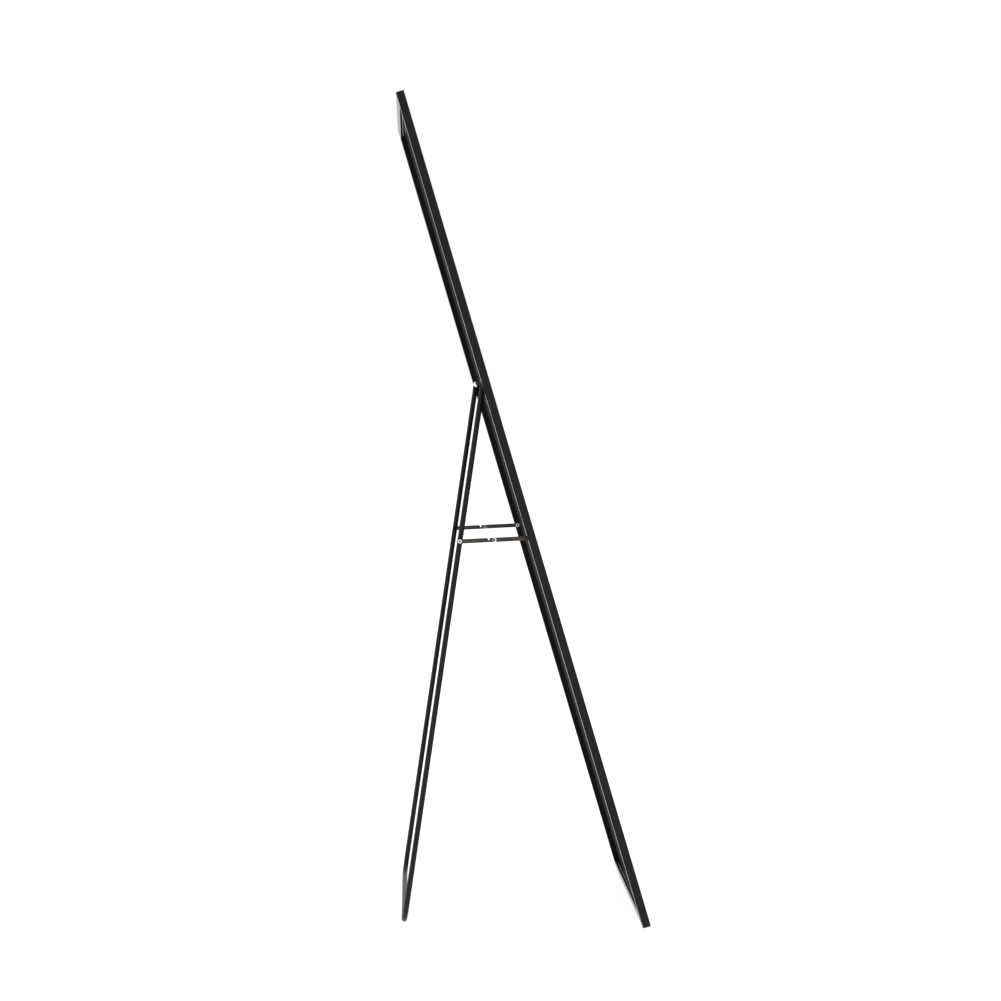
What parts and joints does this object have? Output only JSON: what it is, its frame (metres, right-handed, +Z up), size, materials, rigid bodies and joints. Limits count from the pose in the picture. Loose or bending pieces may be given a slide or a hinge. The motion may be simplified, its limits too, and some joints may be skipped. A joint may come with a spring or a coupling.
{
  "type": "floor sign stand",
  "caption": "Tall leaning sign frame with a folding U-shaped tube leg behind it, held open by jointed flat side braces.",
  "frame": {"origin": "floor level, at the middle of the stand's width and of its depth", "axes": "+Z up, along the stand's height; the sign faces -Y and leans back, and the leg stands on the +Y side; +X is to the right of a person who faces the sign from the front"},
  "size_m": [0.6, 0.4684, 1.5382],
  "materials": {
    "frame_coat": "satin charcoal powder coat on aluminium section",
    "key_zinc": "zinc-plated pressed steel",
    "screw_steel": "blackened countersunk steel screw",
    "back_board": "matt dark grey rigid sheet",
    "sign_card": "plain printed card, unprinted here",
    "clear_cover": "clear rigid anti-glare sheet",
    "leg_coat": "satin charcoal powder coat on steel tube",
    "bolt_steel": "bright zinc-plated slotted bolt",
    "insert_zinc": "zinc-plated steel",
    "link_steel": "dark oiled steel strip",
    "washer_plastic": "black nylon",
    "rivet_steel": "bright steel rivet"
  },
  "bodies": {
    "sign_frame": {"back_board": "back_board", "clear_cover": "clear_cover", "corner_key_bottom_left": "key_zinc", "corner_key_bottom_right": "key_zinc", "corner_key_top_left": "key_zinc", "corner_key_top_right": "key_zinc", "corner_screws": "screw_steel", "front_rivet_left": "rivet_steel", "front_rivet_right": "rivet_steel", "front_washer_left": "washer_plastic", "front_washer_right": "washer_plastic", "hinge_bolt_left": "bolt_steel", "hinge_bolt_right": "bolt_steel", "hinge_insert_left": "insert_zinc", "hinge_insert_right": "insert_zinc", "hinge_spacer_left": "insert_zinc", "hinge_spacer_right": "insert_zinc", "rail_bottom": "frame_coat", "rail_top": "frame_coat", "sign_card": "sign_card", "stile_left": "frame_coat", "stile_right": "frame_coat"},
    "leg": {"leg_eye_left": "leg_coat", "leg_eye_right": "leg_coat", "leg_frame": "leg_coat", "rear_rivet_left": "rivet_steel", "rear_rivet_right": "rivet_steel", "rear_washer_left": "washer_plastic", "rear_washer_right": "washer_plastic"},
    "front_brace_left": {"front_link_left": "link_steel", "knuckle_head_left": "rivet_steel"},
    "rear_brace_left": {"rear_link_left": "link_steel", "knuckle_tail_left": "rivet_steel"},
    "front_brace_right": {"front_link_right": "link_steel", "knuckle_head_right": "rivet_steel"},
    "rear_brace_right": {"rear_link_right": "link_steel", "knuckle_tail_right": "rivet_steel"}
  },
  "joints": [
    {"name": "leg_fold", "type": "hinge", "parent": "sign_frame", "child": "leg", "pos_m": [0, 0.0734, 1.00818], "axis": [-1, 0, 0], "range_deg": [0, 24.8]},
    {"name": "front_brace_turn_left", "type": "hinge", "parent": "sign_frame", "child": "front_brace_left", "pos_m": [-0.275, -0.01266, 0.71766], "axis": [1, 0, 0], "range_deg": [0, 76.4]},
    {"name": "rear_brace_turn_left", "type": "hinge", "parent": "leg", "child": "rear_brace_left", "pos_m": [-0.2728, 0.11671, 0.71132], "axis": [-1, 0, 0], "range_deg": [0, 79]},
    {"name": "front_brace_turn_right", "type": "hinge", "parent": "sign_frame", "child": "front_brace_right", "pos_m": [0.275, -0.01266, 0.71766], "axis": [1, 0, 0], "range_deg": [0, 76.4]},
    {"name": "rear_brace_turn_right", "type": "hinge", "parent": "leg", "child": "rear_brace_right", "pos_m": [0.2728, 0.11671, 0.71132], "axis": [-1, 0, 0], "range_deg": [0, 79]}
  ],
  "couplings": [
    {"joint": "front_brace_turn_left", "follows": "leg_fold", "ratio": 3.0768},
    {"joint": "rear_brace_turn_left", "follows": "leg_fold", "ratio": 3.1813},
    {"joint": "front_brace_turn_right", "follows": "leg_fold", "ratio": 3.0768},
    {"joint": "rear_brace_turn_right", "follows": "leg_fold", "ratio": 3.1813}
  ]
}
